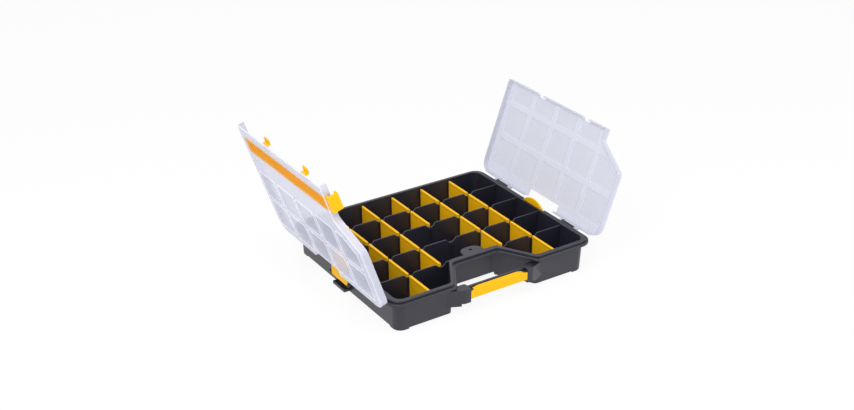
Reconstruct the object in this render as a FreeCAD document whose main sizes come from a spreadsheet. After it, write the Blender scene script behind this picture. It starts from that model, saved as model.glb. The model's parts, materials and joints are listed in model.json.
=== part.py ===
import FreeCAD, Part
import math
import os
import Sketcher

# Storage organizer box: a black tray of compartments, loose yellow dividers, two clear lids hinged along the
# sides, a yellow lock bar under the wider lid, a yellow latch on each side and a yellow grip on the handle.
# Millimetres, +Z up, +Y to the back, the handle at the front. The origin lies under the middle of the
# compartment grid, on the surface that the tray stands on. The lids stand open, as when the box is filled.

COLUMN_COUNT = 6
ROW_COUNT = 5
# Column lines that hold a divider, for each row from the back to the front.
DIVIDER_LINES = [(1, 2, 3, 4, 5), (1, 2, 3, 4, 5), (1, 2, 4, 5), (1, 2, 4, 5), (1, 5)]
ROW_NAMES = ("back", "second", "middle", "fourth", "front")

SIZES = {
    # Compartment grid and tray shell
    "column_pitch": 57.0,
    "row_pitch": 58.0,
    "tray_height": 54.0,
    "floor_rise": 8.0,
    "floor_thickness": 2.5,
    "floor_ledge": 0.3,
    "pad_width": 120.0,
    "pad_depth": 60.0,
    "wall_thickness": 2.6,
    "wall_draft": 2.5,
    "wall_corner_radius": 16.0,
    "cavity_corner_radius": 13.0,
    "bottom_edge_radius": 2.0,
    "foot_length": 20.0,
    "foot_height": 3.0,
    "foot_set_in": 6.0,
    "cut_overrun": 2.0,
    # Rim: a raised lip round the mouth and a lower flange outside it, on which the lids rest
    "rim_side": 13.0,
    "rim_end": 9.0,
    "rim_recess": 12.5,
    "rim_flank": 9.0,
    "lip_side": 8.5,
    "lip_end": 5.5,
    "lip_recess": 7.5,
    "lip_flank": 5.0,
    "lip_height": 3.5,
    "flange_thickness": 4.0,
    "rim_corner_radius": 22.0,
    "lip_corner_radius": 18.0,
    "rim_edge_radius": 1.0,
    # Recess for the hand at the middle of the front
    "recess_waist_half": 43.0,
    "recess_flank_angle": 31.5,
    "recess_bend_radius": 9.0,
    # Cross walls between the rows, scalloped where the dividers stand
    "cross_wall_thickness": 2.0,
    "cross_wall_drop": 1.5,
    "seat_gap": 0.02,
    "scallop_radius": 9.0,
    "scallop_depth": 6.0,
    "scallop_shoulder_radius": 4.0,
    # Slots for the dividers
    "slot_clearance": 0.3,
    "slot_rib_width": 1.4,
    "slot_rib_reach": 2.0,
    "slot_rib_drop": 8.5,
    # Dividers
    "divider_thickness": 1.8,
    "divider_drop": 3.0,
    "divider_end_gap": 0.7,
    "bead_width": 4.2,
    "bead_height": 3.2,
    "bead_end_gap": 3.4,
    "bead_edge_radius": 1.2,
    # Holed boss behind the recess
    "boss_offset": 3.0,
    "boss_width": 37.0,
    "boss_reach": 18.5,
    "boss_thickness": 8.0,
    "boss_corner_radius": 14.0,
    "boss_hole_radius": 2.6,
    # Handle bar, its end blocks and the grip
    "handle_proud": 2.6,
    "bar_depth": 10.0,
    "bar_bottom": 26.5,
    "bar_height": 12.0,
    "ridge_depth": 4.0,
    "ridge_rise": 3.0,
    "block_length": 37.0,
    "block_nose": 10.0,
    "block_depth": 17.0,
    "block_bottom": 19.5,
    "block_height": 23.0,
    "block_edge_radius": 4.0,
    "heel_drop": 4.0,
    "heel_start": 15.0,
    "grip_length": 103.0,
    "grip_wall": 2.0,
    "grip_reach": 5.0,
    "grip_end_gap": 0.1,
    "grip_edge_radius": 1.2,
    "grip_slope_length": 15.0,
    "grip_slope_drop": 3.5,
    # Lid hinges: barrels on the tray, arms with stub pins on the lids
    "hinge_spacing": 176.0,
    "hinge_offset": 1.5,
    "hinge_drop": 1.0,
    "barrel_length": 30.0,
    "barrel_radius": 3.0,
    "barrel_root": 2.0,
    "hinge_pin_radius": 1.6,
    "hinge_pin_length": 6.0,
    "hinge_pin_clearance": 0.06,
    "arm_thickness": 5.0,
    "arm_gap": 0.3,
    "arm_radius": 2.8,
    "arm_rise": 7.0,
    "arm_relief": 0.9,
    # Lids
    "lid_open_angle": 109.25,
    "lid_height": 11.0,
    "lid_wall": 2.0,
    "lid_plate": 2.0,
    "lid_seat_gap": 0.3,
    "lid_inset": 1.0,
    "lid_corner_radius": 20.0,
    "lid_bend_radius": 8.0,
    "lid_edge_radius": 1.2,
    "parting_offset": 19.5,
    "parting_gap": 0.6,
    "panel_margin": 3.5,
    "panel_rise": 1.2,
    "panel_corner_radius": 3.0,
    "panel_wall": 1.6,
    "latch_window_depth": 15.0,
    "latch_window_margin": 8.0,
    "meeting_rib_gap": 0.5,
    # Lock bar under the left lid
    "lock_width": 27.0,
    "lock_thickness": 3.0,
    "lock_setback": 17.0,
    "lock_end_gap": 9.0,
    "lock_play": 0.25,
    "lock_travel": 4.0,
    "rail_width": 2.0,
    "rail_lip": 1.6,
    "rail_floor": 1.2,
    "rail_length": 26.0,
    "rail_offset": 15.0,
    "rail_spacing": 95.0,
    "hook_length": 12.0,
    "hook_spacing": 116.0,
    "hook_offset": 12.0,
    "hook_setback": 1.5,
    "hook_leg": 3.0,
    "hook_head": 2.4,
    "hook_reach": 5.0,
    "hook_clearance": 0.8,
    "hook_head_gap": 0.4,
    "clasp_thickness": 4.5,
    "clasp_gap": 0.3,
    "clasp_foot": 3.0,
    "clasp_foot_gap": 0.4,
    "clasp_edge_radius": 1.0,
    # Side latches, one on each side, opposite each other
    "latch_length": 48.0,
    "latch_thickness": 3.0,
    "latch_offset": 7.0,
    "latch_wall_gap": 2.4,
    "latch_shoulder": 54.0,
    "latch_rise": 9.0,
    "latch_pivot_height": 19.0,
    "latch_heel": 2.5,
    "latch_pin_radius": 1.4,
    "latch_pin_length": 4.0,
    "latch_pin_clearance": 0.06,
    "latch_end_gap": 0.4,
    "latch_ear_length": 5.0,
    "latch_ear_radius": 3.2,
    "latch_edge_radius": 1.0,
    "rim_gap_margin": 5.0,
    "rim_gap_wall_gap": 0.6,
    "catch_length": 34.0,
    "catch_height": 4.6,
    "catch_proud": 10.0,
    "catch_bottom": 3.6,
}

# Measuring slack for finding edges and faces, and the sizes that the sketch solver starts from.
NEAR = 1e-4
SEED_SIZE = 1.0
SEED_ROUND = 0.05

doc = FreeCAD.newDocument("organizer_box")
sheet = doc.addObject("Spreadsheet::Sheet", "dims")
for row, (name, value) in enumerate(SIZES.items(), start=1):
    sheet.set(f"A{row}", name)
    sheet.set(f"B{row}", str(value))
    sheet.setAlias(f"B{row}", name)
doc.recompute()

# Places that several pieces share, as expressions of the driving dimensions.
half_x = f"(dims.column_pitch * {COLUMN_COUNT} / 2)"
half_y = f"(dims.row_pitch * {ROW_COUNT} / 2)"
recess_line = f"(dims.row_pitch * ({ROW_COUNT} / 2 - 1))"
floor_top = "(dims.floor_rise + dims.floor_thickness)"
flange_top = "(dims.tray_height - dims.lip_height)"
flange_bottom = f"({flange_top} - dims.flange_thickness)"
cross_wall_top = "(dims.tray_height - dims.cross_wall_drop)"
lean = "tan(dims.wall_draft * 1deg)"
hinge_x = f"({half_x} + dims.rim_side + dims.hinge_offset)"
hinge_z = f"({flange_top} - dims.hinge_drop)"
hinge_y = "(dims.hinge_spacing / 2)"
arm_start = "(dims.barrel_length / 2 + dims.arm_gap)"
bar_front = f"({half_y} + dims.rim_end + dims.handle_proud)"
bar_top = "(dims.bar_bottom + dims.bar_height)"
latch_x = f"({half_x} + dims.wall_thickness + dims.latch_wall_gap)"
latch_pivot_x = f"({latch_x} + dims.latch_thickness / 2)"
rim_gap_half = "(dims.latch_length / 2 + dims.rim_gap_margin)"

# Heights above the hinge axis and distances from it, used by the lids and the lock bar.
skirt_bottom = "(dims.hinge_drop + dims.lid_seat_gap)"
lid_top = f"({skirt_bottom} + dims.lid_height)"
plate_under = f"({lid_top} - dims.lid_plate)"
plate_middle = f"({lid_top} - dims.lid_plate / 2)"
rib_bottom = "(dims.lip_height + dims.hinge_drop + dims.meeting_rib_gap)"
lock_top = f"({plate_under} - dims.lock_play)"
lock_under = f"({lock_top} - dims.lock_thickness)"
lid_edge = "(dims.hinge_offset + dims.lid_inset)"
left_reach = f"({hinge_x} + dims.parting_offset - dims.parting_gap / 2)"
right_reach = f"({hinge_x} - dims.parting_offset - dims.parting_gap / 2)"
lid_recess = f"({recess_line} + dims.rim_recess - dims.lid_inset)"
lid_end = f"({half_y} + dims.rim_end - dims.lid_inset)"
lock_far = f"({left_reach} - dims.lock_setback)"
lock_near = f"({lock_far} - dims.lock_width)"
hook_places = [f"(dims.hook_offset {sign} dims.hook_spacing / 2)" for sign in "+-"]

ALONG_X = FreeCAD.Vector(1, 0, 0)
ALONG_Y = FreeCAD.Vector(0, 1, 0)


def size(name):
    return float(sheet.get(name))


def along(edge, axis):
    """True for a straight edge parallel to a unit vector."""
    if edge.Curve.TypeId != "Part::GeomLine":
        return False
    return abs(abs(edge.Curve.Direction.dot(axis)) - 1) < NEAR


def at_height(shape, height):
    box = shape.BoundBox
    return abs(box.ZMin - height) < NEAR and abs(box.ZMax - height) < NEAR


def upright(face):
    low_u, high_u, low_v, high_v = face.ParameterRange
    return abs(face.normalAt((low_u + high_u) / 2, (low_v + high_v) / 2).z) < NEAR


class PieceBuilder:
    """One body of the document, with short names for the features that the pieces use."""

    def __init__(self, label):
        self.label = label
        self.body = doc.addObject("PartDesign::Body", label)
        self.body.Label = label

    def origin(self, role):
        return next(item for item in self.body.Origin.OriginFeatures if item.Role == role)

    def sketch(self, name, plane="XY", at="0"):
        sketch = self.body.newObject("Sketcher::SketchObject", f"{self.label}_{name}_sketch")
        sketch.AttachmentSupport = [(self.origin(f"{plane}_Plane"), "")]
        sketch.MapMode = "FlatFace"
        # The XZ plane faces -Y, so its offset is turned round to count along +Y like the others.
        sign = "-1" if plane == "XZ" else "1"
        sketch.setExpression("AttachmentOffset.Base.z", f"{sign} * ({at})")
        return sketch

    def feature(self, kind, name, sketch, length, backward):
        feature = self.body.newObject(f"PartDesign::{kind}", f"{self.label}_{name}")
        feature.Profile = sketch
        feature.setExpression("Length", length)
        feature.Reversed = backward
        doc.recompute()
        return feature

    def pad(self, name, sketch, length):
        """Fills the sketch towards +X, +Y or +Z."""
        return self.feature("Pad", name, sketch, length, sketch.AttachmentSupport[0][0].Role == "XZ_Plane")

    def pocket(self, name, sketch, length):
        """Cuts the sketch towards +X, +Y or -Z."""
        before = self.body.Shape.Volume
        backward = sketch.AttachmentSupport[0][0].Role == "YZ_Plane"
        pocket = self.feature("Pocket", name, sketch, length, backward)
        if self.body.Shape.Volume > before - NEAR:
            raise RuntimeError(f"{pocket.Name} cuts nothing")
        return pocket

    def pocket_up(self, name, sketch, length):
        return self.feature("Pocket", name, sketch, length, True)

    def draft(self, name, height, narrows_outside, wanted):
        """Leans upright faces about the level face at a height."""
        base = self.body.Tip
        faces = [(f"Face{index}", face) for index, face in enumerate(base.Shape.Faces, start=1)]
        draft = self.body.newObject("PartDesign::Draft", f"{self.label}_{name}")
        draft.Base = (base, [key for key, face in faces if upright(face) and wanted(face)])
        draft.NeutralPlane = (base, [key for key, face in faces if at_height(face, height)][:1])
        draft.Reversed = narrows_outside
        draft.setExpression("Angle", "dims.wall_draft")
        doc.recompute()
        return draft

    def fillet(self, name, radius, wanted):
        edges = self.body.Shape.Edges
        chosen = [f"Edge{index}" for index, edge in enumerate(edges, start=1) if wanted(edge)]
        if not chosen:
            raise RuntimeError(f"{self.label} {name}: no edge found")
        base = self.body.Tip
        fillet = self.body.newObject("PartDesign::Fillet", f"{self.label}_{name}")
        fillet.Base = (base, chosen)
        fillet.setExpression("Radius", radius)
        doc.recompute()
        return fillet

    def pattern(self, kind, name, originals):
        pattern = self.body.newObject(f"PartDesign::{kind}", f"{self.label}_{name}")
        pattern.Originals = originals
        return pattern

    def finish_pattern(self, pattern):
        self.body.Tip = pattern
        doc.recompute()
        return pattern

    def mirrored(self, name, originals, plane):
        mirror = self.pattern("Mirrored", name, originals)
        mirror.MirrorPlane = (self.origin(f"{plane}_Plane"), [""])
        return self.finish_pattern(mirror)

    def four_fold(self, name, originals):
        multi = self.pattern("MultiTransform", name, originals)
        steps = []
        for plane in ("XZ", "YZ"):
            step = self.body.newObject("PartDesign::Mirrored", f"{self.label}_{name}_{plane}")
            step.MirrorPlane = (self.origin(f"{plane}_Plane"), [""])
            steps.append(step)
        multi.Transformations = steps
        return self.finish_pattern(multi)

    def half_turn(self, name, originals):
        polar = self.pattern("PolarPattern", name, originals)
        polar.Axis = (self.origin("Z_Axis"), [""])
        polar.Angle = 360
        polar.Occurrences = 2
        return self.finish_pattern(polar)

    def row_copies(self, name, originals, count, spacing):
        """Copies towards the front."""
        pattern = self.pattern("LinearPattern", name, originals)
        pattern.Direction = (self.origin("Y_Axis"), [""])
        pattern.Reversed = True
        pattern.Mode = "Spacing"
        pattern.Occurrences = count
        pattern.setExpression("Offset", spacing)
        return self.finish_pattern(pattern)

    def column_copies(self, name, originals):
        """Copies towards +X, one at each column line."""
        pattern = self.pattern("LinearPattern", name, originals)
        pattern.Direction = (self.origin("X_Axis"), [""])
        pattern.Mode = "Spacing"
        pattern.Occurrences = COLUMN_COUNT - 1
        pattern.setExpression("Offset", "dims.column_pitch")
        return self.finish_pattern(pattern)

    def place(self, base, turn=None):
        if turn:
            self.body.Placement.Rotation = FreeCAD.Rotation(ALONG_Y, 1)
            self.body.setExpression("Placement.Rotation.Angle", turn)
        for axis, expression in zip("xyz", base):
            self.body.setExpression(f"Placement.Base.{axis}", expression)
        doc.recompute()


def draw_outline(sketch, corners, rounds=None):
    """Adds a closed outline whose corners are (x, y) expressions, rounded where a radius is given."""
    count = len(corners)
    first = sketch.GeometryCount
    ring = []
    for index in range(count):
        angle = 2 * math.pi * index / count
        ring.append(FreeCAD.Vector(math.cos(angle), math.sin(angle), 0) * SEED_SIZE)
    for index in range(count):
        sketch.addGeometry(Part.LineSegment(ring[index], ring[(index + 1) % count]))
    for index in range(count):
        after = first + (index + 1) % count
        sketch.addConstraint(Sketcher.Constraint("Coincident", first + index, 2, after, 1))
    for index, (x, y) in enumerate(corners):
        for kind, start, expression in (("DistanceX", ring[index].x, x), ("DistanceY", ring[index].y, y)):
            item = sketch.addConstraint(Sketcher.Constraint(kind, -1, 1, first + index, 1, start))
            sketch.setExpression(f"Constraints[{item}]", expression)
    if not rounds:
        return
    doc.recompute()
    for index, radius in enumerate(rounds):
        if radius is None:
            continue
        sketch.fillet(first + index, 1, SEED_ROUND, True, True)
        arc = max(place for place, item in enumerate(sketch.Geometry)
                  if item.TypeId == "Part::GeomArcOfCircle")
        item = sketch.addConstraint(Sketcher.Constraint("Radius", arc, SEED_ROUND))
        sketch.setExpression(f"Constraints[{item}]", radius)


def draw_rectangle(sketch, low_x, low_y, high_x, high_y, rounding=None):
    corners = [(low_x, low_y), (high_x, low_y), (high_x, high_y), (low_x, high_y)]
    draw_outline(sketch, corners, [rounding] * len(corners) if rounding else None)


def draw_circle(sketch, x, y, radius):
    centre = FreeCAD.Vector(SEED_SIZE, SEED_SIZE, 0)
    circle = sketch.addGeometry(Part.Circle(centre, FreeCAD.Vector(0, 0, 1), SEED_SIZE))
    for kind, expression in (("DistanceX", x), ("DistanceY", y)):
        item = sketch.addConstraint(Sketcher.Constraint(kind, -1, 1, circle, 3, SEED_SIZE))
        sketch.setExpression(f"Constraints[{item}]", expression)
    item = sketch.addConstraint(Sketcher.Constraint("Radius", circle, SEED_SIZE))
    sketch.setExpression(f"Constraints[{item}]", radius)


def flank_x(distance, offset):
    """The recess flank's X at a distance in front of the recess line, moved into the recess by an offset."""
    slope = "tan(dims.recess_flank_angle * 1deg)"
    spread = "cos(dims.recess_flank_angle * 1deg)"
    return f"(dims.recess_waist_half + ({distance}) * {slope} - ({offset}) / {spread})"


def draw_tray_outline(sketch, side, end, recess, flank, corner):
    """The tray's plan outline, moved outwards from the compartments' outline by four offsets."""
    x = f"({half_x} + {side})"
    y = f"({half_y} + {end})"
    back = f"({recess_line} + {recess})"
    mouth = flank_x(f"{y} - {recess_line}", flank)
    waist = flank_x(recess, flank)
    right = [(waist, f"-{back}"), (mouth, f"-{y}"), (x, f"-{y}"), (x, y)]
    left = [(f"-{across}", depth) for across, depth in reversed(right)]
    bend = "dims.recess_bend_radius"
    draw_outline(sketch, right + left, [bend, bend, corner, corner, corner, corner, bend, bend])


def build_tray():
    tray = PieceBuilder("tray")
    build_shell(tray)
    build_handle(tray)
    build_tray_hinges(tray)
    build_latch_seats(tray)
    build_inside(tray)
    return tray


def build_shell(tray):
    wall = "dims.wall_thickness"
    shell = tray.sketch("shell")
    draw_tray_outline(shell, wall, wall, wall, wall, "dims.wall_corner_radius")
    tray.pad("shell", shell, flange_top)
    step = size("tray_height") - size("lip_height")
    tray.draft("outer_draft", step, True, lambda face: True)
    tray.fillet("bottom_edge", "dims.bottom_edge_radius", lambda edge: at_height(edge, 0))

    flange = tray.sketch("flange", at=flange_bottom)
    draw_tray_outline(flange, "dims.rim_side", "dims.rim_end", "dims.rim_recess", "dims.rim_flank",
                      "dims.rim_corner_radius")
    tray.pad("flange", flange, "dims.flange_thickness")
    tray.fillet("flange_round", "dims.rim_edge_radius", lambda edge: at_height(edge, step))

    lip = tray.sketch("lip", at=flange_top)
    draw_tray_outline(lip, "dims.lip_side", "dims.lip_end", "dims.lip_recess", "dims.lip_flank",
                      "dims.lip_corner_radius")
    tray.pad("lip", lip, "dims.lip_height")
    tray.fillet("lip_round", "dims.rim_edge_radius", lambda edge: at_height(edge, size("tray_height")))


def build_inside(tray):
    cavity = tray.sketch("cavity", at="dims.tray_height")
    draw_tray_outline(cavity, "0", "0", "0", "0", "dims.cavity_corner_radius")
    tray.pocket("cavity", cavity, f"dims.tray_height - {floor_top}")
    floor = size("floor_rise") + size("floor_thickness")
    top = size("tray_height")

    def is_inner_wall(face):
        return abs(face.BoundBox.ZMin - floor) < NEAR and abs(face.BoundBox.ZMax - top) < NEAR

    tray.draft("inner_draft", top, False, is_inner_wall)
    raise_bottom_edges(tray)

    # The front cross wall runs into the hand recess, and is rooted halfway into the outer wall.
    root_z = f"({floor_top} + dims.seat_gap)"
    root_x = f"({half_x} + dims.wall_thickness / 2)"
    draw_cross_wall(tray, f"-{recess_line}", root_x, root_z)
    slots = tray.sketch("slot", at=root_z)
    draw_slot_ribs(slots, half_y, "-")
    draw_slot_ribs(slots, f"-{recess_line}", "+")
    rib_height = f"dims.tray_height - dims.slot_rib_drop - {root_z}"
    slot = tray.pad("slot", slots, rib_height)
    tray.column_copies("slots", [slot])
    front_slots = tray.sketch("front_slot", at=root_z)
    draw_slot_ribs(front_slots, f"-{recess_line}", "-")
    draw_slot_ribs(front_slots, f"-{half_y}", "+")
    front_slot = tray.pad("front_slot", front_slots, rib_height)
    tray.mirrored("front_slots", [front_slot], "YZ")

    boss_back = f"(dims.boss_reach - {recess_line})"
    boss = tray.sketch("boss", at="dims.tray_height - dims.boss_thickness")
    left, right = (f"(dims.boss_offset {sign} dims.boss_width / 2)" for sign in "-+")
    front = f"(-{recess_line} - dims.lip_recess / 2)"
    bend = "dims.boss_corner_radius"
    draw_outline(boss, [(left, front), (right, front), (right, boss_back), (left, boss_back)],
                 [None, None, bend, bend])
    tray.pad("boss", boss, "dims.boss_thickness")
    hole = tray.sketch("boss_hole", at="dims.tray_height")
    draw_circle(hole, "dims.boss_offset", f"{boss_back} - dims.boss_reach / 2", "dims.boss_hole_radius")
    tray.pocket("boss_hole", hole, "dims.boss_thickness + dims.cut_overrun")


def draw_floor_outline(sketch, gap):
    """The cavity's outline at the floor, a ledge and a gap inside its leaning walls."""
    inset = f"((dims.tray_height - {floor_top}) * {lean} + dims.floor_ledge + {gap})"
    draw_tray_outline(sketch, f"-{inset}", f"-{inset}", f"-{inset}", f"-{inset}",
                      f"(dims.cavity_corner_radius - {inset})")


def build_floor():
    """The raised floor with the pad it stands on; moulded with the tray, and seated in it here."""
    piece = PieceBuilder("tray_floor")
    plate = piece.sketch("plate", at="dims.floor_rise")
    draw_floor_outline(plate, "dims.seat_gap")
    piece.pad("plate", plate, "dims.floor_thickness")
    pad = piece.sketch("pad")
    draw_rectangle(pad, "-dims.pad_width / 2", "-dims.pad_depth / 2",
                   "dims.pad_width / 2", "dims.pad_depth / 2")
    piece.pad("pad", pad, "dims.floor_rise + dims.floor_thickness / 2")
    return piece


def raise_bottom_edges(tray):
    # The walls stand round an open bottom, which the floor closes. Between the corners their bottom
    # edges are raised, so that the corners stand out as feet, and behind the hand recess up to the floor.
    bottom = tray.sketch("bottom")
    draw_floor_outline(bottom, "0")
    tray.pocket_up("bottom", bottom, f"{floor_top} + dims.seat_gap")
    recess = tray.sketch("recess_gap")
    draw_rectangle(recess, "-dims.recess_waist_half",
                   f"-{recess_line} - dims.wall_thickness - dims.cut_overrun",
                   "dims.recess_waist_half", f"dims.foot_set_in - {recess_line}")
    tray.pocket_up("recess_gap", recess, "dims.floor_rise")
    edges = tray.sketch("foot_gaps")
    low_x, low_y = (f"({half} + dims.wall_thickness - {flange_top} * {lean} - dims.foot_set_in)"
                    for half in (half_x, half_y))
    high_x, high_y = (f"({half} + dims.wall_thickness + dims.cut_overrun)" for half in (half_x, half_y))
    gap_x, gap_y = (f"({half} - dims.foot_length)" for half in (half_x, half_y))
    draw_rectangle(edges, low_x, f"-{gap_y}", high_x, gap_y)
    draw_rectangle(edges, f"-{high_x}", f"-{gap_y}", f"-{low_x}", gap_y)
    draw_rectangle(edges, f"-{gap_x}", low_y, gap_x, high_y)
    draw_rectangle(edges, f"-{gap_x}", f"-{high_y}", gap_x, f"dims.foot_set_in - {recess_line}")
    tray.pocket_up("foot_gaps", edges, "dims.foot_height")


def draw_cross_wall(piece, line_y, end_x, base_z):
    """A wall with scallops in its top, from a base height up, whose ends lean with the tray's sides."""
    face_y = f"({line_y} - dims.cross_wall_thickness / 2)"
    low, high = (f"({end_x} - (dims.tray_height - {height}) * {lean})" for height in (base_z, cross_wall_top))
    wall = piece.sketch("cross_wall", "XZ", face_y)
    draw_outline(wall, [(f"-{low}", base_z), (low, base_z),
                        (high, cross_wall_top), (f"-{high}", cross_wall_top)])
    piece.pad("cross_wall", wall, "dims.cross_wall_thickness")
    scallop = piece.sketch("scallop", "XZ", face_y)
    for line in range(1, COLUMN_COUNT):
        middle = f"dims.column_pitch * ({line} - {COLUMN_COUNT} / 2)"
        draw_circle(scallop, middle, f"{cross_wall_top} - dims.scallop_depth + dims.scallop_radius",
                    "dims.scallop_radius")
    piece.pocket("scallops", scallop, "dims.cross_wall_thickness")
    crest = size("tray_height") - size("cross_wall_drop")
    widest = size("column_pitch") * (COLUMN_COUNT / 2 - 1) + size("scallop_radius")

    def is_shoulder(edge):
        thin = abs(edge.Length - size("cross_wall_thickness")) < NEAR
        return thin and along(edge, ALONG_Y) and at_height(edge, crest) and abs(edge.CenterOfMass.x) < widest

    piece.fillet("scallop_shoulders", "dims.scallop_shoulder_radius", is_shoulder)


def draw_slot_ribs(sketch, wall_y, toward):
    """Two ribs that hold a divider's end, on one side of a wall at the first column line."""
    middle = f"dims.column_pitch * (1 - {COLUMN_COUNT} / 2)"
    inner = "(dims.divider_thickness / 2 + dims.slot_clearance)"
    outer = f"({inner} + dims.slot_rib_width)"
    tip_y = f"({wall_y} {toward} (dims.cross_wall_thickness / 2 + dims.slot_rib_reach))"
    draw_rectangle(sketch, f"{middle} - {outer}", wall_y, f"{middle} - {inner}", tip_y)
    draw_rectangle(sketch, f"{middle} + {inner}", wall_y, f"{middle} + {outer}", tip_y)


def build_cross_wall(label, row):
    """The wall in front of a row counted from the back; moulded with the tray, and seated in it here."""
    piece = PieceBuilder(label)
    base_z = f"({floor_top} + dims.seat_gap)"
    draw_cross_wall(piece, "0", f"({half_x} - dims.seat_gap)", base_z)
    slots = piece.sketch("slot", at=base_z)
    draw_slot_ribs(slots, "0", "-")
    draw_slot_ribs(slots, "0", "+")
    slot = piece.pad("slot", slots, f"dims.tray_height - dims.slot_rib_drop - {base_z}")
    piece.column_copies("slots", [slot])
    piece.place(("0", f"{half_y} - dims.row_pitch * {row + 1}", "0"))
    return piece


def build_handle(tray):
    # The end blocks taper from the grip's ends back into the front wall, and reach lower at the wall.
    start = "(dims.grip_length / 2 + dims.grip_end_gap)"
    end = f"({start} + dims.block_length)"
    front = f"({bar_front} + dims.grip_wall)"
    back = f"({front} - dims.block_depth)"
    wall_y = f"({half_y} + dims.wall_thickness / 2)"
    bend = "dims.block_edge_radius"
    block = tray.sketch("block", at="dims.block_bottom")
    plan = [(start, f"-{front}"), (f"{start} + dims.block_nose", f"-{front}"), (end, f"-{wall_y}"),
            (end, f"-{back}"), (start, f"-{back}")]
    draw_outline(block, plan, [None, bend, None, None, bend])
    blocks = tray.pad("block", block, "dims.block_height")
    heel = tray.sketch("heel", at="dims.block_bottom - dims.heel_drop")
    heel_start = f"({start} + dims.heel_start)"
    slope = f"(({front} - {wall_y}) / (dims.block_length - dims.block_nose))"
    taper = f"({slope} * (dims.block_length - dims.heel_start))"
    draw_outline(heel, [(heel_start, f"-({wall_y} + {taper})"), (end, f"-{wall_y}"), (end, f"-{back}"),
                        (heel_start, f"-{back}")])
    heels = tray.pad("heel", heel, "dims.heel_drop + dims.block_height / 2")
    tray.mirrored("blocks", [blocks, heels], "YZ")

    bar_end = f"({start} + dims.block_nose)"
    bar_back = f"({bar_front} - dims.bar_depth)"
    ridge = f"({bar_back} + dims.ridge_depth)"
    ridge_top = f"({bar_top} + dims.ridge_rise)"
    bar = tray.sketch("bar", "YZ", f"-{bar_end}")
    draw_outline(bar, [(f"-{bar_front}", "dims.bar_bottom"), (f"-{bar_back}", "dims.bar_bottom"),
                       (f"-{bar_back}", ridge_top), (f"-{ridge}", ridge_top), (f"-{ridge}", bar_top),
                       (f"-{bar_front}", bar_top)])
    tray.pad("bar", bar, f"2 * {bar_end}")


def build_tray_hinges(tray):
    low_y = f"({hinge_y} - dims.barrel_length / 2)"
    web = tray.sketch("hinge_web", "XZ", low_y)
    root_x = f"({hinge_x} - dims.hinge_offset - dims.barrel_root)"
    draw_rectangle(web, root_x, f"{hinge_z} - dims.barrel_radius", hinge_x, flange_top)
    hinge_web = tray.pad("hinge_web", web, "dims.barrel_length")
    barrel = tray.sketch("barrel", "XZ", low_y)
    draw_circle(barrel, hinge_x, hinge_z, "dims.barrel_radius")
    barrels = tray.pad("barrel", barrel, "dims.barrel_length")
    notch = tray.sketch("arm_notch", at=f"{flange_top} + dims.cut_overrun")
    inner_x = f"{hinge_x} - dims.arm_radius - dims.arm_relief"
    outer_x = f"{hinge_x} + dims.barrel_radius + dims.cut_overrun"
    near = "(dims.barrel_length / 2)"
    far = f"({arm_start} + dims.arm_thickness + dims.arm_relief)"
    draw_rectangle(notch, inner_x, f"{hinge_y} + {near}", outer_x, f"{hinge_y} + {far}")
    draw_rectangle(notch, inner_x, f"{hinge_y} - {far}", outer_x, f"{hinge_y} - {near}")
    notches = tray.pocket("arm_notch", notch, "dims.flange_thickness + 2 * dims.cut_overrun")
    bore = tray.sketch("hinge_bore", "XZ", low_y)
    draw_circle(bore, hinge_x, hinge_z, "dims.hinge_pin_radius + dims.hinge_pin_clearance")
    bores = tray.pocket("hinge_bore", bore, "dims.barrel_length")
    tray.four_fold("hinges", [hinge_web, barrels, notches, bores])


def build_latch_seats(tray):
    middle = "-dims.latch_offset"
    gap = tray.sketch("rim_gap", at="dims.tray_height + dims.cut_overrun")
    near_x = f"({half_x} + dims.wall_thickness + dims.rim_gap_wall_gap)"
    draw_rectangle(gap, near_x, f"{middle} - {rim_gap_half}",
                   f"{hinge_x} + dims.cut_overrun", f"{middle} + {rim_gap_half}")
    deep = "dims.lip_height + dims.flange_thickness + 2 * dims.cut_overrun"
    seats = [tray.pocket("rim_gap", gap, deep)]
    wall_x = f"({half_x} + dims.wall_thickness / 2 - dims.tray_height * {lean})"
    half = "(dims.latch_length / 2 + dims.latch_end_gap)"
    low_z, high_z = (f"(dims.latch_pivot_height {sign} dims.latch_ear_radius)" for sign in "-+")
    bore_radius = "dims.latch_pin_radius + dims.latch_pin_clearance"
    places = (("front", f"{middle} - {half} - dims.latch_ear_length"), ("back", f"{middle} + {half}"))
    for side, low_y in places:
        web = tray.sketch(f"{side}_ear_web", "XZ", low_y)
        draw_rectangle(web, wall_x, low_z, latch_pivot_x, high_z)
        seats.append(tray.pad(f"{side}_ear_web", web, "dims.latch_ear_length"))
        ear = tray.sketch(f"{side}_ear", "XZ", low_y)
        draw_circle(ear, latch_pivot_x, "dims.latch_pivot_height", "dims.latch_ear_radius")
        seats.append(tray.pad(f"{side}_ear", ear, "dims.latch_ear_length"))
        bore = tray.sketch(f"{side}_ear_bore", "XZ", low_y)
        draw_circle(bore, latch_pivot_x, "dims.latch_pivot_height", bore_radius)
        seats.append(tray.pocket(f"{side}_ear_bore", bore, "dims.latch_ear_length"))
    catch = tray.sketch("catch", at="dims.catch_bottom")
    draw_rectangle(catch, wall_x, f"{middle} - dims.catch_length / 2",
                   f"{half_x} + dims.catch_proud", f"{middle} + dims.catch_length / 2")
    seats.append(tray.pad("catch", catch, "dims.catch_height"))
    tray.half_turn("latch_seats", seats)


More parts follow.
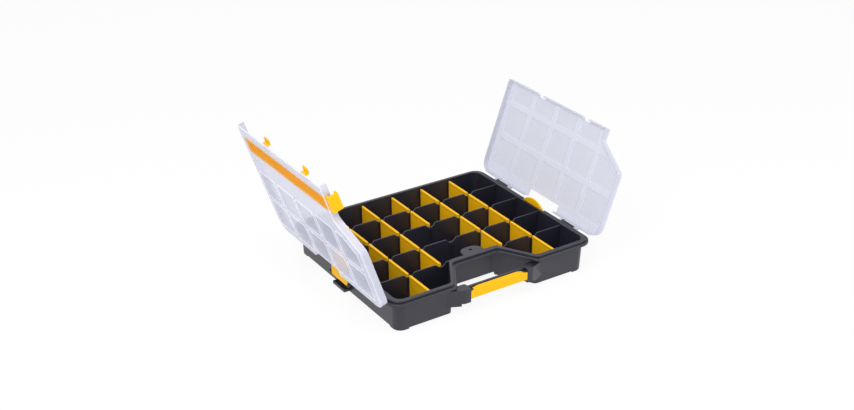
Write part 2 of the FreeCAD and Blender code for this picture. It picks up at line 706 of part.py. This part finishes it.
def build_grip():
    grip = PieceBuilder("handle_grip")
    outside = f"({bar_front} + dims.grip_wall)"
    inside = f"({bar_front} - dims.grip_reach)"
    low, high = f"(dims.bar_bottom - dims.grip_wall)", f"({bar_top} + dims.grip_wall)"
    section = grip.sketch("section", "YZ", "-dims.grip_length / 2")
    bend = "dims.grip_edge_radius"
    draw_outline(section, [(f"-{outside}", low), (f"-{inside}", low), (f"-{inside}", "dims.bar_bottom"),
                           (f"-{bar_front}", "dims.bar_bottom"), (f"-{bar_front}", bar_top),
                           (f"-{inside}", bar_top), (f"-{inside}", high), (f"-{outside}", high)],
                 [bend, None, None, None, None, None, None, bend])
    grip.pad("section", section, "dims.grip_length")
    slope = grip.sketch("end_slopes", "XZ", f"-{outside} - dims.cut_overrun")
    tip, crest = "(dims.grip_length / 2)", f"({high} + dims.cut_overrun)"
    for side in ("", "-"):
        draw_outline(slope, [(f"{side}{tip}", f"{high} - dims.grip_slope_drop"), (f"{side}{tip}", crest),
                             (f"{side}({tip} - dims.grip_slope_length)", crest),
                             (f"{side}({tip} - dims.grip_slope_length)", high)])
    grip.pocket("end_slopes", slope, "dims.grip_wall + dims.grip_reach + 2 * dims.cut_overrun")
    return grip


def build_lid(label, is_left):
    lid = PieceBuilder(label)
    reach = left_reach if is_left else right_reach

    def across(distance):
        return distance if is_left else f"-({distance})"

    def outline(sketch, inset, far, corner, bend):
        end = f"({lid_end} - {inset})"
        recess = f"({lid_recess} - {inset})"
        flank = f"(dims.rim_flank - dims.lid_inset - {inset})"
        mouth = f"({hinge_x} - {flank_x(f'{end} - {recess_line}', flank)})"
        waist = f"({hinge_x} - {flank_x(f'{recess} - {recess_line}', flank)})"
        near = f"({lid_edge} + {inset})"
        plan = [(near, end), (near, f"-{end}"), (mouth, f"-{end}"), (waist, f"-{recess}"),
                (far, f"-{recess}"), (far, end)]
        draw_outline(sketch, [(across(x), y) for x, y in plan], [corner, corner, bend, bend, None, None])

    def rectangle(sketch, near, low_y, far, high_y, rounding=None):
        draw_rectangle(sketch, across(near), low_y, across(far), high_y, rounding)

    block = lid.sketch("block", at=skirt_bottom)
    outline(block, "0", reach, "dims.lid_corner_radius", "dims.lid_bend_radius")
    lid.pad("block", block, "dims.lid_height")
    top = size("hinge_drop") + size("lid_seat_gap") + size("lid_height")
    lid.fillet("top_round", "dims.lid_edge_radius", lambda edge: at_height(edge, top))
    hollow = lid.sketch("hollow", at=skirt_bottom)
    inner_reach = f"({reach} + dims.cut_overrun)" if is_left else f"({reach} - dims.lid_wall)"
    outline(hollow, "dims.lid_wall", inner_reach, "dims.lid_corner_radius - dims.lid_wall",
            "dims.lid_bend_radius - dims.lid_wall")
    lid.pocket_up("hollow", hollow, "dims.lid_height - dims.lid_plate")

    # Raised panels, one over each compartment; the narrow lid also has a half-wide column.
    lines = [f"({hinge_x} - dims.column_pitch * ({COLUMN_COUNT} / 2 - {line}))" for line in range(3)]
    panels = lid.sketch("panel", at=plate_middle)
    high_y = f"({half_y} - dims.panel_margin)"
    low_y = f"({half_y} - dims.row_pitch + dims.panel_margin)"
    spans = [(f"{near} + dims.panel_margin", f"{far} - dims.panel_margin")
             for near, far in zip(lines, lines[1:] + ([] if is_left else [reach]))]
    hollows = lid.sketch("panel_hollow", at=plate_under)
    inset = "dims.panel_wall"
    for near, far in spans:
        rectangle(panels, near, low_y, far, high_y, "dims.panel_corner_radius")
        rectangle(hollows, f"{near} + {inset}", f"{low_y} + {inset}",
                  f"{far} - {inset}", f"{high_y} - {inset}")
    panel_height = "dims.lid_plate / 2 + dims.panel_rise"
    panel = lid.pad("panel", panels, panel_height)
    hollow_panel = lid.pocket_up("panel_hollow", hollows, "dims.panel_rise")
    lid.row_copies("panels", [panel, hollow_panel], ROW_COUNT - 1, "dims.row_pitch")
    front = lid.sketch("front_panels", at=plate_middle)
    front_hollow = lid.sketch("front_hollow", at=plate_under)
    back_y, front_y = f"-({recess_line} + dims.panel_margin)", f"-({half_y} - dims.panel_margin)"
    rectangle(front, spans[0][0], front_y, spans[0][1], back_y, "dims.panel_corner_radius")
    rectangle(front_hollow, f"{spans[0][0]} + {inset}", f"{front_y} + {inset}", f"{spans[0][1]} - {inset}",
              f"{back_y} - {inset}")
    for sketch, offset, rounding in ((front, "0", "dims.panel_corner_radius"), (front_hollow, inset, None)):
        margin = f"(dims.panel_margin + {offset})"
        near, far = f"({spans[1][0]} + {offset})", f"({spans[1][1]} - {offset})"
        slant = f"({hinge_x} - {flank_x(f'dims.row_pitch - {margin}', f'-{margin}')})"
        climb = f"(({hinge_x} - {far} - {flank_x('0', f'-{margin}')}) / tan(dims.recess_flank_angle * 1deg))"
        low_y = f"{front_y} + {offset}"
        plan = [(near, f"{back_y} - {offset}"), (near, low_y), (slant, low_y),
                (far, f"-({recess_line} + {climb})"), (far, f"{back_y} - {offset}")]
        draw_outline(sketch, [(across(x), y) for x, y in plan], [rounding] * len(plan) if rounding else None)
    lid.pad("front_panels", front, panel_height)
    lid.pocket_up("front_hollow", front_hollow, "dims.panel_rise")

    window = lid.sketch("latch_window", at=f"{lid_top} + dims.cut_overrun")
    middle = "dims.latch_offset" if is_left else "-dims.latch_offset"
    half = f"({rim_gap_half} + dims.latch_window_margin)"
    rectangle(window, f"{lid_edge} - dims.cut_overrun", f"{middle} - {half}", "dims.latch_window_depth",
              f"{middle} + {half}")
    lid.pocket("latch_window", window, "dims.lid_height + 2 * dims.cut_overrun")

    relief = lid.sketch("barrel_relief", "XZ", f"{hinge_y} - {arm_start}")
    rectangle(relief, f"{lid_edge} - dims.cut_overrun", f"{skirt_bottom} - dims.cut_overrun",
              f"{lid_edge} + dims.lid_wall + dims.cut_overrun", "dims.barrel_radius + dims.arm_relief")
    reliefs = lid.pocket("barrel_relief", relief, f"2 * {arm_start}")
    hinge_parts = [reliefs]
    arm = [("-dims.arm_radius", "0"), ("dims.arm_radius", "0"), ("dims.arm_radius", skirt_bottom),
           (f"{lid_edge} + dims.lid_wall", skirt_bottom), (f"{lid_edge} + dims.lid_wall", "dims.arm_rise"),
           (lid_edge, "dims.arm_rise"), ("-dims.arm_radius", "dims.arm_radius")]
    places = (("front", f"{hinge_y} - {arm_start} - dims.arm_thickness",
               f"{hinge_y} - {arm_start} - dims.arm_gap"),
              ("back", f"{hinge_y} + {arm_start}",
               f"{hinge_y} + {arm_start} + dims.arm_gap - dims.hinge_pin_length"))
    for side, low, pin_low in places:
        web = lid.sketch(f"{side}_arm", "XZ", low)
        draw_outline(web, [(across(x), z) for x, z in arm])
        hinge_parts.append(lid.pad(f"{side}_arm", web, "dims.arm_thickness"))
        eye = lid.sketch(f"{side}_eye", "XZ", low)
        draw_circle(eye, "0", "0", "dims.arm_radius")
        hinge_parts.append(lid.pad(f"{side}_eye", eye, "dims.arm_thickness"))
        pin = lid.sketch(f"{side}_pin", "XZ", pin_low)
        draw_circle(pin, "0", "0", "dims.hinge_pin_radius")
        hinge_parts.append(lid.pad(f"{side}_pin", pin, "dims.hinge_pin_length"))
    lid.mirrored("hinges", hinge_parts, "XZ")
    if is_left:
        finish_left_lid(lid)
    else:
        finish_right_lid(lid)
    place = [f"-{hinge_x}" if is_left else hinge_x, "0", hinge_z]
    lid.place(place, f"{'-' if is_left else ''}dims.lid_open_angle * 1deg")
    return lid


def finish_left_lid(lid):
    """Rails for the lock bar and the slot where it leaves the lid."""
    slot = lid.sketch("lock_slot", "XZ", f"-{lid_recess} - dims.cut_overrun")
    draw_rectangle(slot, f"{lock_near} - dims.lock_play", f"{lock_under} - dims.lock_play",
                   f"{lock_far} + dims.lock_play", plate_under)
    lid.pocket("lock_slot", slot, "dims.lid_wall + 2 * dims.cut_overrun")
    low = f"({lock_under} - dims.lock_play - dims.rail_floor)"
    ledge = f"({lock_under} - dims.lock_play)"
    rail = lid.sketch("rail", "XZ", "dims.rail_offset + dims.rail_spacing - dims.rail_length / 2")
    for edge, outwards in ((lock_near, "-"), (lock_far, "+")):
        inwards = "+" if outwards == "-" else "-"
        face = f"({edge} {outwards} dims.lock_play)"
        back = f"({face} {outwards} dims.rail_width)"
        lip = f"({edge} {inwards} dims.rail_lip)"
        draw_outline(rail, [(back, low), (lip, low), (lip, ledge), (face, ledge), (face, plate_middle),
                            (back, plate_middle)])
    rails = lid.pad("rail", rail, "dims.rail_length")
    lid.row_copies("rails", [rails], 3, "dims.rail_spacing")


def finish_right_lid(lid):
    """The meeting edge: a rib clear of the rim, open where the hooks pass."""
    inner = f"({right_reach} - dims.lid_wall)"
    under = lid.sketch("rib_relief", at=f"{skirt_bottom} - dims.cut_overrun")
    draw_rectangle(under, f"-({right_reach} + dims.cut_overrun)", f"-({lid_recess} - dims.lid_wall)",
                   f"-({inner} - dims.cut_overrun)", f"{lid_end} - dims.lid_wall")
    lid.pocket_up("rib_relief", under, f"{rib_bottom} - {skirt_bottom} + dims.cut_overrun")
    notch = lid.sketch("hook_notch", at=f"{lid_top} + dims.cut_overrun")
    half = "(dims.hook_length / 2 + dims.hook_clearance)"
    for place in hook_places:
        draw_rectangle(notch, f"-({right_reach} + dims.cut_overrun)", f"{place} - {half}",
                       f"-({right_reach} - dims.hook_reach - dims.hook_clearance)", f"{place} + {half}")
    lid.pocket("hook_notch", notch, "dims.lid_height + 2 * dims.cut_overrun")


def build_lock_bar():
    bar = PieceBuilder("lock_bar")
    clasp_back = f"({recess_line} + dims.rim_recess + dims.lock_travel + dims.clasp_gap)"
    clasp_front = f"({clasp_back} + dims.clasp_thickness)"
    strip = bar.sketch("strip", at=lock_under)
    strip_back = f"{lid_end} - dims.lid_wall - dims.lock_end_gap"
    draw_rectangle(strip, lock_near, f"-{clasp_front}", lock_far, strip_back)
    bar.pad("strip", strip, "dims.lock_thickness")
    foot_top = "(dims.hinge_drop - dims.flange_thickness - dims.clasp_foot_gap)"
    foot_bottom = f"({foot_top} - dims.clasp_foot)"
    foot_tip = f"({clasp_back} - dims.lock_travel)"
    clasp = bar.sketch("clasp", "YZ", lock_near)
    draw_outline(clasp, [(f"-{clasp_front}", foot_bottom), (f"-{foot_tip}", foot_bottom),
                         (f"-{foot_tip}", foot_top), (f"-{clasp_back}", foot_top),
                         (f"-{clasp_back}", lock_top), (f"-{clasp_front}", lock_top)])
    bar.pad("clasp", clasp, "dims.lock_width")
    front_y = -(size("row_pitch") * (ROW_COUNT / 2 - 1) + size("rim_recess") + size("lock_travel")
                + size("clasp_gap") + size("clasp_thickness"))
    bar.fillet("clasp_round", "dims.clasp_edge_radius",
               lambda edge: along(edge, ALONG_X) and abs(edge.CenterOfMass.y - front_y) < NEAR)
    leg_out = f"({left_reach} - dims.hook_setback)"
    leg_in = f"({leg_out} - dims.hook_leg)"
    tip = f"({left_reach} + dims.parting_gap + dims.hook_reach)"
    head_top = f"({rib_bottom} - dims.hook_head_gap)"
    head_bottom = f"({head_top} - dims.hook_head)"
    start = f"({lock_far} - dims.cut_overrun)"
    hook = bar.sketch("hook", "XZ", f"{hook_places[0]} - dims.hook_length / 2")
    draw_outline(hook, [(start, lock_under), (leg_in, lock_under), (leg_in, head_bottom), (tip, head_bottom),
                        (tip, head_top), (leg_out, head_top), (leg_out, lock_top), (start, lock_top)])
    hooks = bar.pad("hook", hook, "dims.hook_length")
    bar.row_copies("hooks", [hooks], 2, "dims.hook_spacing")
    bar.place([f"-{hinge_x}", "0", hinge_z], "-dims.lid_open_angle * 1deg")
    return bar


def build_latch(label, side):
    """A side latch, drawn on the right side and turned half round for the left."""
    latch = PieceBuilder(label)
    half = size("latch_length") / 2
    rise = size("latch_rise")
    radius = (half * half + rise * rise) / (2 * rise)
    low = size("latch_pivot_height") - size("latch_heel")
    shoulder = size("latch_shoulder")
    plate = latch.sketch("plate", "YZ", latch_x)
    corners = [FreeCAD.Vector(y, z, 0)
               for y, z in ((half, shoulder), (-half, shoulder), (-half, low), (half, low))]
    crown = FreeCAD.Vector(0, shoulder + rise, 0)
    plate.addGeometry(Part.Arc(corners[0], crown, corners[1]))
    for start, end in ((1, 2), (2, 3), (3, 0)):
        plate.addGeometry(Part.LineSegment(corners[start], corners[end]))
    for index in range(4):
        plate.addConstraint(Sketcher.Constraint("Coincident", index, 2, (index + 1) % 4, 1))
    half_length = "dims.latch_length / 2"
    heel = "dims.latch_pivot_height - dims.latch_heel"
    bindings = [("DistanceX", 1, -half, f"-dims.latch_offset - {half_length}"),
                ("DistanceY", 1, shoulder, "dims.latch_shoulder"),
                ("DistanceX", 2, -half, f"-dims.latch_offset - {half_length}"), ("DistanceY", 2, low, heel),
                ("DistanceX", 3, half, f"-dims.latch_offset + {half_length}"), ("DistanceY", 3, low, heel),
                ("DistanceX", 0, half, f"-dims.latch_offset + {half_length}"),
                ("DistanceY", 0, shoulder, "dims.latch_shoulder")]
    for kind, line, start, expression in bindings:
        item = plate.addConstraint(Sketcher.Constraint(kind, -1, 1, line, 1, start))
        plate.setExpression(f"Constraints[{item}]", expression)
    item = plate.addConstraint(Sketcher.Constraint("Radius", 0, radius))
    plate.setExpression(f"Constraints[{item}]",
                        f"(({half_length}) ^ 2 + dims.latch_rise ^ 2) / (2 * dims.latch_rise)")
    latch.pad("plate", plate, "dims.latch_thickness")
    latch.fillet("top_round", "dims.latch_edge_radius",
                 lambda edge: edge.Curve.TypeId == "Part::GeomCircle")
    root = f"({half_length} - dims.cut_overrun)"
    for end, low_y in (("front", f"-dims.latch_offset - {half_length} - dims.latch_pin_length"),
                       ("back", f"-dims.latch_offset + {root}")):
        pin = latch.sketch(f"{end}_pin", "XZ", low_y)
        draw_circle(pin, latch_pivot_x, "dims.latch_pivot_height", "dims.latch_pin_radius")
        latch.pad(f"{end}_pin", pin, "dims.latch_pin_length + dims.cut_overrun")
    if side == "left":
        latch.body.Placement.Rotation = FreeCAD.Rotation(FreeCAD.Vector(0, 0, 1), 180)
        doc.recompute()
    return latch


def build_divider(label, line, row):
    divider = PieceBuilder(label)
    height = f"(dims.tray_height - dims.divider_drop - {floor_top})"
    half = "((dims.row_pitch - dims.cross_wall_thickness) / 2 - dims.divider_end_gap)"
    half_low = f"({half} - {height} * {lean})"
    plate = divider.sketch("plate", "YZ", "-dims.divider_thickness / 2")
    draw_outline(plate, [(f"-{half_low}", "0"), (half_low, "0"), (half, height), (f"-{half}", height)])
    divider.pad("plate", plate, "dims.divider_thickness")
    bead_half = "((dims.row_pitch - dims.cross_wall_thickness) / 2 - dims.bead_end_gap)"
    bead = divider.sketch("bead", "XZ", f"-{bead_half}")
    bend = "dims.bead_edge_radius"
    bead_low = f"({height} - dims.bead_height)"
    draw_rectangle(bead, "-dims.bead_width / 2", bead_low, "dims.bead_width / 2", height, bend)
    divider.pad("bead", bead, f"2 * {bead_half}")
    divider.place([f"dims.column_pitch * ({line} - {COLUMN_COUNT} / 2)",
                   f"{half_y} - dims.row_pitch * ({row} + 1 / 2)", floor_top])
    return divider


def check_and_write(pieces):
    doc.recompute()
    for item in doc.Objects:
        if {"Invalid", "Error"} & set(item.State):
            raise RuntimeError(f"{item.Name}: {item.State}")
    for piece in pieces:
        shape = piece.body.Shape
        if shape.isNull() or not shape.isValid():
            raise RuntimeError(f"{piece.label}: bad shape")
    os.makedirs("parts", exist_ok=True)
    for piece in pieces:
        piece.body.Shape.exportStep(f"parts/{piece.label}.step")
        box = piece.body.Shape.BoundBox
        print(piece.label, len(piece.body.Shape.Solids), round(piece.body.Shape.Volume), box)


pieces = [build_tray(), build_floor(), build_grip(),
          build_lid("left_lid", True), build_lid("right_lid", False), build_lock_bar(),
          build_latch("left_side_latch", "left"), build_latch("right_side_latch", "right")]
# The front row's cross wall belongs to the tray.
pieces += [build_cross_wall(f"cross_wall_{name}", row) for row, name in enumerate(ROW_NAMES[:-2])]
for row, lines in enumerate(DIVIDER_LINES):
    for line in lines:
        pieces.append(build_divider(f"divider_{ROW_NAMES[row]}_{line}", line, row))
check_and_write(pieces)
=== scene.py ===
import bmesh
import bpy
import json
import math
from mathutils import Matrix, Vector


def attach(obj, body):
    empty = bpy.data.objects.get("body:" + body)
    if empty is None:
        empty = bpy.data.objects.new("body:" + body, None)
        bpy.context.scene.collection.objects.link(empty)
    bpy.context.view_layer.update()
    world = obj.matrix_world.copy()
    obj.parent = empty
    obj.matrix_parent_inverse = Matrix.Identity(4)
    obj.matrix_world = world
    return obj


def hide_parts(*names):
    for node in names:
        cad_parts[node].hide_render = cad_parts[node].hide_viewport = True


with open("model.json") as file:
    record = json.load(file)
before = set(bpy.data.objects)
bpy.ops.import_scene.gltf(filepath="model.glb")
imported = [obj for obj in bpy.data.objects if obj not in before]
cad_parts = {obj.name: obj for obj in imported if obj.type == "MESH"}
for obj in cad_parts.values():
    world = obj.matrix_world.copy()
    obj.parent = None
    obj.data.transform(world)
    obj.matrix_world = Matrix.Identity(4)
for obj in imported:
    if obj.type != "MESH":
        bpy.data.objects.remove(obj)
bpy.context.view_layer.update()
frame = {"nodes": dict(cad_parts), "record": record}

scene = bpy.context.scene


def newMaterial(name):
    material = bpy.data.materials.new(name)
    material.use_nodes = True
    nodes = material.node_tree.nodes
    return material, nodes, material.node_tree.links, nodes["Principled BSDF"]


# satin plastic, its gloss and colour varied a little by a fine grain
def plasticMaterial(name, look):
    material, nodes, links, shader = newMaterial(name)
    shader.inputs["Specular IOR Level"].default_value = look["gloss"]
    place = nodes.new("ShaderNodeTexCoord")
    grain = nodes.new("ShaderNodeTexNoise")
    grain.inputs["Scale"].default_value = look["grainScale"]
    links.new(place.outputs["Object"], grain.inputs["Vector"])
    spread = nodes.new("ShaderNodeMapRange")
    spread.inputs["To Min"].default_value = look["roughness"] - look["grainStrength"]
    spread.inputs["To Max"].default_value = look["roughness"] + look["grainStrength"]
    links.new(grain.outputs["Fac"], spread.inputs["Value"])
    links.new(spread.outputs["Result"], shader.inputs["Roughness"])
    mottle = nodes.new("ShaderNodeMix")
    mottle.data_type = "RGBA"
    mottle.inputs["A"].default_value = (*look["shade"], 1)
    mottle.inputs["B"].default_value = (*look["color"], 1)
    links.new(grain.outputs["Fac"], mottle.inputs["Factor"])
    links.new(mottle.outputs["Result"], shader.inputs["Base Color"])
    return material


black = {"color": (0.019, 0.019, 0.031), "shade": (0.014, 0.014, 0.024), "roughness": 0.36,
         "gloss": 0.56, "grainScale": 900.0, "grainStrength": 0.08}
yellow = {"color": (0.92, 0.50, 0.003), "shade": (0.87, 0.45, 0.003), "roughness": 0.36,
          "gloss": 0.12, "grainScale": 700.0, "grainStrength": 0.04}
divider = {"color": (0.97, 0.56, 0.006), "shade": (0.88, 0.44, 0.003), "roughness": 0.40,
           "gloss": 0.25, "grainScale": 520.0, "grainStrength": 0.10}
blackPlastic = plasticMaterial("blackPlastic", black)
yellowPlastic = plasticMaterial("yellowPlastic", yellow)
dividerPlastic = plasticMaterial("dividerPlastic", divider)


# see-through plastic
def clearMaterial(name, look):
    material, nodes, links, shader = newMaterial(name)
    shader.inputs["Base Color"].default_value = (*look["color"], 1)
    shader.inputs["Roughness"].default_value = look["roughness"]
    shader.inputs["Specular IOR Level"].default_value = look["gloss"]
    slant = nodes.new("ShaderNodeLayerWeight")  # hazier where the sheet is seen at a slant
    haze = nodes.new("ShaderNodeMapRange")
    haze.inputs["To Min"].default_value = look["haze"]
    haze.inputs["To Max"].default_value = look["edgeHaze"]
    links.new(slant.outputs["Facing"], haze.inputs["Value"])
    links.new(haze.outputs["Result"], shader.inputs["Alpha"])
    return material


# the lids' finishes: the sheet, the raised panels and their borders (painted lighter and whiter, a painted
# highlight), the sheet over the lock bar, the edges
lidLooks = {
    "clear": {"color": (0.66, 0.68, 0.81), "haze": 0.42, "edgeHaze": 0.80, "roughness": 0.14, "gloss": 0.5},
    "panel": {"color": (0.54, 0.56, 0.70), "haze": 0.36, "edgeHaze": 0.60, "roughness": 0.10, "gloss": 0.5},
    # the panels' borders and flanks are painted lighter and whiter than the sheet, a painted highlight where
    # they catch the light
    "panelRimHighlight": {"color": (0.88, 0.89, 1.0), "haze": 0.60, "edgeHaze": 0.88, "roughness": 0.2, "gloss": 0.5},
    "barWindow": {"color": (0.90, 0.37, 0.004), "haze": 0.25, "edgeHaze": 0.85, "roughness": 0.5,
                  "gloss": 0.05},
    "skirt": {"color": (0.66, 0.67, 0.78), "haze": 0.62, "edgeHaze": 0.86, "roughness": 0.2, "gloss": 0.5},
}
lidPlastics = [clearMaterial(f"{name}Plastic", look) for name, look in lidLooks.items()]
lidFinish = {name: index for index, name in enumerate(lidLooks)}
print("plastics done")

merging = {"distance": 1e-6, "flatAngle": 0.5}  # metres, degrees


# a merged copy of a CAD node as a bmesh
def mergedCopy(node):
    work = bmesh.new()
    work.from_mesh(frame["nodes"][node].data)
    bmesh.ops.remove_doubles(work, verts=work.verts, dist=merging["distance"])
    bmesh.ops.dissolve_limit(work, angle_limit=math.radians(merging["flatAngle"]),
                             verts=work.verts, edges=work.edges)
    return work


rounding = {"tray": 0.0005, "yellow": 0.0004, "lid": 0.0005, "segments": 2, "angle": 32.0}  # metres, degrees


# shows a bmesh in a node's place, its sharp edges rounded
def showFor(node, work, materials, width):
    mesh = bpy.data.meshes.new(f"{node}Look")
    work.to_mesh(mesh)
    work.free()
    for material in materials:
        mesh.materials.append(material)
    mesh.shade_smooth()
    mesh.set_sharp_from_angle(angle=math.radians(rounding["angle"]))
    piece = bpy.data.objects.new(f"{node}Look", mesh)
    scene.collection.objects.link(piece)
    bevel = piece.modifiers.new("roundedEdges", "BEVEL")
    bevel.width = width
    bevel.segments = rounding["segments"]
    bevel.limit_method = "ANGLE"
    bevel.angle_limit = math.radians(rounding["angle"])
    evenShading = piece.modifiers.new("evenShading", "WEIGHTED_NORMAL")
    evenShading.keep_sharp = True
    body = next(name for name, nodes in frame["record"]["behaviour"]["bodies"].items() if node in nodes)
    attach(piece, body)
    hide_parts(node)


for node in frame["nodes"]:
    if node.startswith(("tray", "cross_wall")):
        showFor(node, mergedCopy(node), [blackPlastic], rounding["tray"])
    elif node.startswith("divider"):
        showFor(node, mergedCopy(node), [dividerPlastic], rounding["yellow"])
    elif not node.endswith("_lid"):
        showFor(node, mergedCopy(node), [yellowPlastic], rounding["yellow"])
print("tray, dividers and yellow pieces done")

# where the lids' axes lie, in metres, and how far the lids stand open, in degrees
hinge = {"across": 0.1855, "height": 0.0495, "openAngle": 109.25}
# a lid laid flat: heights above its axis, distances from it and the width of the panels' borders, in metres
lid = {"panelTop": 0.0135, "panelUnder": 0.0115, "gridUnder": 0.0103, "barNear": 0.1607, "barFar": 0.1877,
       "barBack": 0.142, "rimWidth": 0.0019}
finding = {"near": 1e-5, "levelNormal": 0.9}  # metres off a height, and how upright a level face's normal is


# from a standing lid to one laid flat: its axis at the origin, +X to its free edge, its outside up
def layFlat(side):
    back = Matrix.Rotation(math.radians(-side * hinge["openAngle"]), 4, "Y")
    flip = Matrix.Diagonal((-side, 1, 1, 1))
    return flip @ back @ Matrix.Translation((-side * hinge["across"], 0, -hinge["height"]))


# gives each face of a lid its finish; side is -1 for the left lid and 1 for the right
def dressLid(node, side):
    work = mergedCopy(node)
    flat = layFlat(side)
    work.transform(flat)
    if side < 0:  # the strip over the lock bar is tinted with the amber that shows there in the photo
        cuts = (((lid["barNear"], 0, 0), (1, 0, 0)), ((lid["barFar"], 0, 0), (1, 0, 0)),
                ((0, lid["barBack"], 0), (0, 1, 0)))
        for place, normal in cuts:
            bmesh.ops.bisect_plane(work, geom=work.verts[:] + work.edges[:] + work.faces[:],
                                   dist=merging["distance"], plane_co=place, plane_no=normal)
    work.normal_update()
    raised = []
    for face in work.faces:
        center = face.calc_center_median()
        level = abs(face.normal.z) > finding["levelNormal"]
        if level and abs(center.z - lid["panelTop"]) < finding["near"]:
            raised.append(face)
        elif level and abs(center.z - lid["panelUnder"]) < finding["near"]:
            face.material_index = lidFinish["panel"]
        # the panels' flanks get the painted highlight of the borders
        elif not level:  # the panels' flanks above, the lid's own skirt below
            face.material_index = lidFinish["panelRimHighlight" if center.z > lid["gridUnder"] else "skirt"]
        elif side < 0 and lid["barNear"] < center.x < lid["barFar"] and center.y < lid["barBack"]:
            face.material_index = lidFinish["barWindow"]
    rims = bmesh.ops.inset_individual(work, faces=raised, thickness=lid["rimWidth"], use_even_offset=True)
    for face in raised:
        face.material_index = lidFinish["panel"]
    # the inset borders get the painted highlight
    for face in rims["faces"]:
        face.material_index = lidFinish["panelRimHighlight"]
    work.transform(flat.inverted())
    showFor(node, work, lidPlastics, rounding["lid"])


dressLid("left_lid", -1)
dressLid("right_lid", 1)
print("lids done")

# lens in millimetres, angles in degrees, the rest in metres
# the target lies across and up in the picture from a point at this level above the origin
camera = {"lens": 55.14, "azimuth": -33.48, "elevation": 26.86, "roll": 0.26, "distance": 2.0503,
          "target": (-0.02104, 0.04156), "level": 0.051}
azimuth, elevation = math.radians(camera["azimuth"]), math.radians(camera["elevation"])
right = Vector((math.cos(azimuth), math.sin(azimuth), 0))
backward = Vector((math.sin(azimuth) * math.cos(elevation), -math.cos(azimuth) * math.cos(elevation),
                   math.sin(elevation)))
up = backward.cross(right)
eyeData = bpy.data.cameras.new("eye")
eyeData.lens = camera["lens"]
eye = bpy.data.objects.new("eye", eyeData)
roll = Matrix.Rotation(math.radians(camera["roll"]), 4, "Z")
turn = Matrix((right, up, backward)).transposed().to_4x4() @ roll
turn.translation = (right * camera["target"][0] + up * camera["target"][1] + backward * camera["distance"]
                    + Vector((0, 0, camera["level"])))
eye.matrix_world = turn
scene.collection.objects.link(eye)
scene.camera = eye

# watts and metres
keyLight = {"power": 26.0, "size": 1.6, "place": (-1.0, -0.7, 1.5), "aim": (0, 0, 0.05)}
fillLight = {"power": 9.0, "size": 1.4, "place": (1.2, -1.3, 0.9), "aim": (0, 0, 0.05)}


def areaLight(name, light):
    data = bpy.data.lights.new(name, "AREA")
    data.shape = "DISK"
    data.size = light["size"]
    data.energy = light["power"]
    lamp = bpy.data.objects.new(name, data)
    lamp.location = light["place"]
    lamp.rotation_euler = (Vector(light["aim"]) - Vector(light["place"])).to_track_quat("-Z", "Y").to_euler()
    scene.collection.objects.link(lamp)


areaLight("keyLight", keyLight)
areaLight("fillLight", fillLight)


# 1 where the camera sees the backdrop, straight or in a gloss or clear surface
def seenShare(nodes, links):
    rays = nodes.new("ShaderNodeLightPath")
    share = rays.outputs["Is Camera Ray"]
    for kind in ("Is Glossy Ray", "Is Transmission Ray"):
        either = nodes.new("ShaderNodeMath")
        either.operation = "MAXIMUM"
        links.new(share, either.inputs[0])
        links.new(rays.outputs[kind], either.inputs[1])
        share = either.outputs[0]
    return share


# glow is how near to pure white the floor looks
paleFloor = {"color": (0.9, 0.9, 0.9), "roughness": 0.9, "glow": 0.9, "halfSize": 6.0, "level": -0.0002}
floorMesh = bpy.data.meshes.new("floor")
floorWork = bmesh.new()
bmesh.ops.create_grid(floorWork, x_segments=1, y_segments=1, size=paleFloor["halfSize"])
floorWork.to_mesh(floorMesh)
floorWork.free()
floor = bpy.data.objects.new("floor", floorMesh)
floor.location = (0, 0, paleFloor["level"])
scene.collection.objects.link(floor)
floorMaterial, floorNodes, floorLinks, floorShader = newMaterial("floorPaint")
floorShader.inputs["Base Color"].default_value = (*paleFloor["color"], 1)
floorShader.inputs["Roughness"].default_value = paleFloor["roughness"]
glow = floorNodes.new("ShaderNodeEmission")
glowMix = floorNodes.new("ShaderNodeMixShader")
glowShare = floorNodes.new("ShaderNodeMapRange")
glowShare.inputs["To Max"].default_value = paleFloor["glow"]
floorLinks.new(seenShare(floorNodes, floorLinks), glowShare.inputs["Value"])
floorLinks.new(glowShare.outputs["Result"], glowMix.inputs["Fac"])
floorLinks.new(floorShader.outputs["BSDF"], glowMix.inputs[1])
floorLinks.new(glow.outputs["Emission"], glowMix.inputs[2])
floorLinks.new(glowMix.outputs["Shader"], floorNodes["Material Output"].inputs["Surface"])
floorMesh.materials.append(floorMaterial)

backdrop = {"light": 0.62, "seen": 1.0}  # how strongly the sky lights the piece, and how bright it looks
world = bpy.data.worlds.new("studioWorld")
scene.world = world
world.use_nodes = True
worldNodes, worldLinks = world.node_tree.nodes, world.node_tree.links
sky = worldNodes["Background"]
sky.inputs["Color"].default_value = (1, 1, 1, 1)
skyLevel = worldNodes.new("ShaderNodeMapRange")
skyLevel.inputs["To Min"].default_value = backdrop["light"]
skyLevel.inputs["To Max"].default_value = backdrop["seen"]
worldLinks.new(seenShare(worldNodes, worldLinks), skyLevel.inputs["Value"])
worldLinks.new(skyLevel.outputs["Result"], sky.inputs["Strength"])
scene.view_settings.view_transform = "Standard"
print("stage done")
